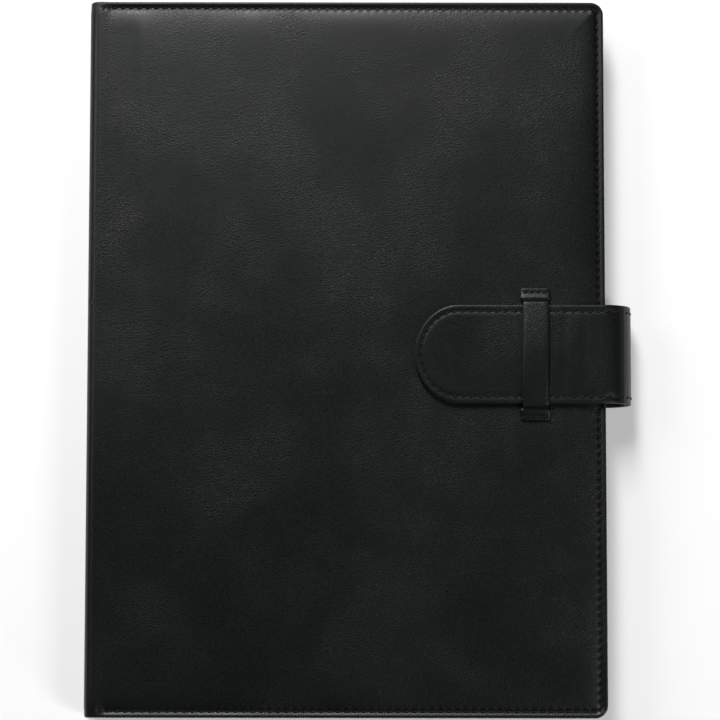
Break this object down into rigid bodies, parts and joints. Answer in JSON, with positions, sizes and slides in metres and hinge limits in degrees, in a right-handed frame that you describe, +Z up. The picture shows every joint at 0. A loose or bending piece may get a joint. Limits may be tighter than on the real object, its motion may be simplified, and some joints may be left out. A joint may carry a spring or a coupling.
{
  "type": "notebook cover",
  "caption": "Refillable leather notebook cover with padded panels, a soft spine, a strap that wraps the fore-edge into a keeper loop, and a tucked-in notebook.",
  "frame": {"origin": "middle of the back panel's outer face, which the cover rests on", "axes": "+Z up through the front panel, +X from the spine to the fore-edge, +Y from the tail to the head"},
  "size_m": [0.1686, 0.222, 0.0216],
  "materials": {
    "cover_leather": "black, fine natural grain, satin",
    "strap_leather": "black, fine natural grain, satin, a little creased",
    "inner_leather": "black, matt flesh side",
    "lining_cloth": "black plain-weave cloth",
    "thread": "waxed black thread",
    "foam": "thin grey foam",
    "board": "grey bookbinder's board",
    "notebook_card": "dark card, matt",
    "paper": "ivory writing paper"
  },
  "bodies": {
    "back_panel": {"back_leather": "cover_leather", "back_padding": "foam", "back_board": "board", "back_lining": "lining_cloth", "back_sleeve": "inner_leather", "back_edge_thread": "thread", "strap_anchor_thread": "thread", "strap_anchor_leather": "strap_leather", "strap_anchor_lining": "inner_leather", "notebook_back_card": "notebook_card", "notebook_back_leaves": "paper"},
    "spine": {"spine_leather": "cover_leather", "spine_stiffener": "board", "spine_lining": "lining_cloth"},
    "front_panel": {"front_leather": "cover_leather", "front_padding": "foam", "front_board": "board", "front_lining": "lining_cloth", "front_sleeve": "inner_leather", "front_edge_thread": "thread", "keeper_loop": "strap_leather", "keeper_head_thread": "thread", "keeper_tail_thread": "thread", "notebook_front_card": "notebook_card"},
    "front_leaves": {"notebook_front_leaves": "paper"},
    "strap_lower": {"strap_bend_1_leather": "strap_leather", "strap_bend_1_lining": "inner_leather"},
    "strap_middle": {"strap_bend_2_leather": "strap_leather", "strap_bend_2_lining": "inner_leather"},
    "strap_upper": {"strap_bend_3_leather": "strap_leather", "strap_bend_3_lining": "inner_leather"},
    "strap_tongue": {"strap_tongue_leather": "strap_leather", "strap_tongue_lining": "inner_leather", "strap_tongue_thread": "thread"}
  },
  "joints": [
    {"name": "cover_open", "type": "hinge", "parent": "back_panel", "child": "spine", "pos_m": [-0.08, 0, 0], "axis": [0, -1, 0], "range_deg": [0, 90]},
    {"name": "front_fold", "type": "hinge", "parent": "spine", "child": "front_panel", "pos_m": [-0.08, 0, 0.0175], "axis": [0, -1, 0], "range_deg": [0, 90]},
    {"name": "leaves_turn", "type": "hinge", "parent": "back_panel", "child": "front_leaves", "pos_m": [-0.0762, 0, 0.00875], "axis": [0, -1, 0], "range_deg": [0, 180]},
    {"name": "strap_unroll", "type": "hinge", "parent": "back_panel", "child": "strap_lower", "pos_m": [0.08286, 0.0004, 0.00221], "axis": [0, 1, 0], "range_deg": [0, 45]},
    {"name": "strap_unroll_2", "type": "hinge", "parent": "strap_lower", "child": "strap_middle", "pos_m": [0.08789, 0.0004, 0.00724], "axis": [0, 1, 0], "range_deg": [0, 45]},
    {"name": "strap_unroll_3", "type": "hinge", "parent": "strap_middle", "child": "strap_upper", "pos_m": [0.08789, 0.0004, 0.01436], "axis": [0, 1, 0], "range_deg": [0, 45]},
    {"name": "strap_unroll_4", "type": "hinge", "parent": "strap_upper", "child": "strap_tongue", "pos_m": [0.08286, 0.0004, 0.01939], "axis": [0, 1, 0], "range_deg": [0, 45]}
  ],
  "couplings": [
    {"joint": "front_fold", "follows": "cover_open", "ratio": 1},
    {"joint": "leaves_turn", "follows": "cover_open", "ratio": 2},
    {"joint": "strap_unroll_2", "follows": "strap_unroll", "ratio": 1},
    {"joint": "strap_unroll_3", "follows": "strap_unroll", "ratio": 1},
    {"joint": "strap_unroll_4", "follows": "strap_unroll", "ratio": 1}
  ]
}
